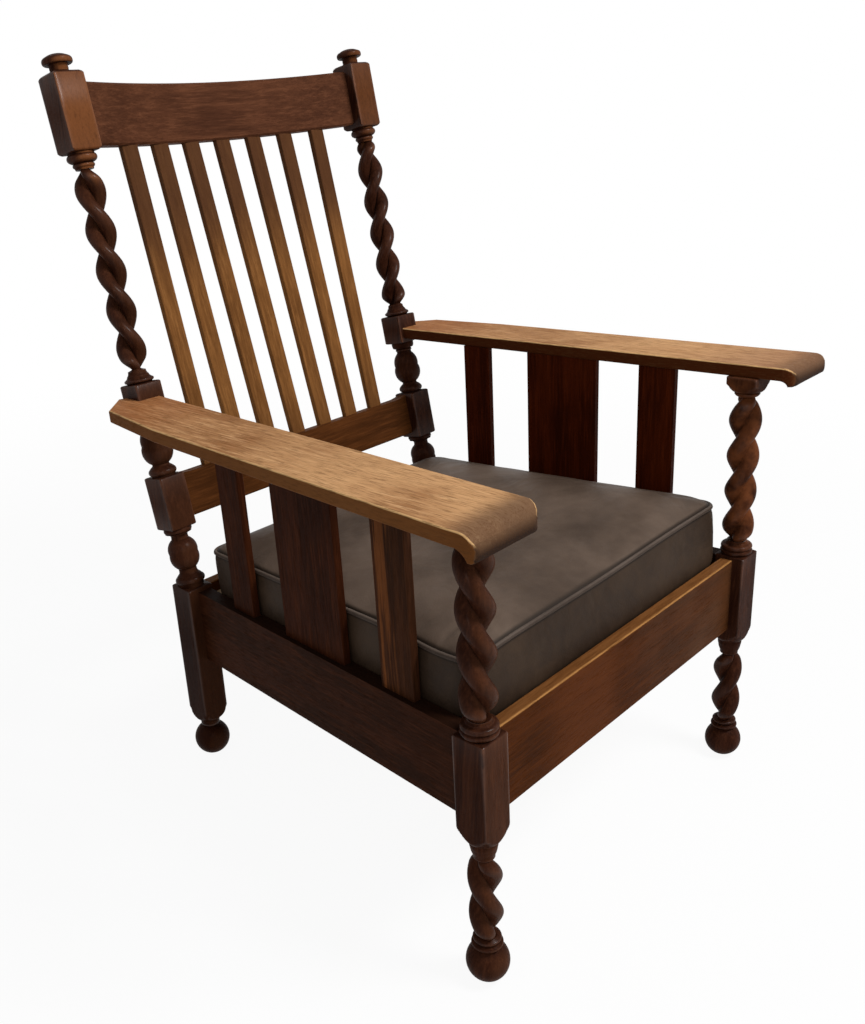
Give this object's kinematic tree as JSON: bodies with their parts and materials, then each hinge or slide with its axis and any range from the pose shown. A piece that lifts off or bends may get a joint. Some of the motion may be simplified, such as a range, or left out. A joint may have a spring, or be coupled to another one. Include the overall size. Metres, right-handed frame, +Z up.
{
  "type": "reclining armchair",
  "caption": "Oak armchair leaning back on ball feet, with double twist turned posts, flat arms, slatted sides and back, and a loose piped seat cushion.",
  "frame": {"origin": "on the floor under the middle of the chair", "axes": "+Z up, -Y to the front, +X to the right seen from the front"},
  "size_m": [0.76, 0.8651, 0.9874],
  "materials": {
    "post_oak": "dark stained satin",
    "rail_oak": "dark stained satin",
    "arm_oak": "worn open grain, satin",
    "crest_oak": "dark stained satin",
    "back_slat_oak": "stained satin",
    "side_slat_oak": "dark stained satin",
    "seat_wood": "plain sawn",
    "webbing": "woven jute",
    "cushion_leather": "worn semi matt",
    "piping_leather": "worn semi matt"
  },
  "bodies": {
    "frame": {"arm_left": "arm_oak", "arm_right": "arm_oak", "back_slat_1": "back_slat_oak", "back_slat_2": "back_slat_oak", "back_slat_3": "back_slat_oak", "back_slat_4": "back_slat_oak", "back_slat_5": "back_slat_oak", "back_slat_6": "back_slat_oak", "back_slat_7": "back_slat_oak", "cleat_front": "seat_wood", "cleat_left": "seat_wood", "cleat_rear": "seat_wood", "cleat_right": "seat_wood", "crest_rail": "crest_oak", "front_post_left": "post_oak", "front_post_right": "post_oak", "front_rail": "rail_oak", "lower_back_rail": "crest_oak", "rear_post_left": "post_oak", "rear_post_right": "post_oak", "rear_rail": "rail_oak", "side_rail_left": "rail_oak", "side_rail_right": "rail_oak", "side_slat_left_front": "side_slat_oak", "side_slat_left_rear": "side_slat_oak", "side_slat_left_wide": "side_slat_oak", "side_slat_right_front": "side_slat_oak", "side_slat_right_rear": "side_slat_oak", "side_slat_right_wide": "side_slat_oak"},
    "drop_in_seat": {"seat_bar_front": "seat_wood", "seat_bar_left": "seat_wood", "seat_bar_rear": "seat_wood", "seat_bar_right": "seat_wood", "webbing_crosswise": "webbing", "webbing_lengthwise": "webbing"},
    "cushion": {"seat_cushion": "cushion_leather", "cushion_piping": "piping_leather"}
  },
  "joints": [
    {"name": "seat_lift", "type": "slide", "parent": "frame", "child": "drop_in_seat", "axis": [0, 0.0927, 0.9957], "range_m": [0, 0.34]},
    {"name": "cushion_lift", "type": "slide", "parent": "drop_in_seat", "child": "cushion", "axis": [0, 0.0927, 0.9957], "range_m": [0, 0.32]}
  ]
}
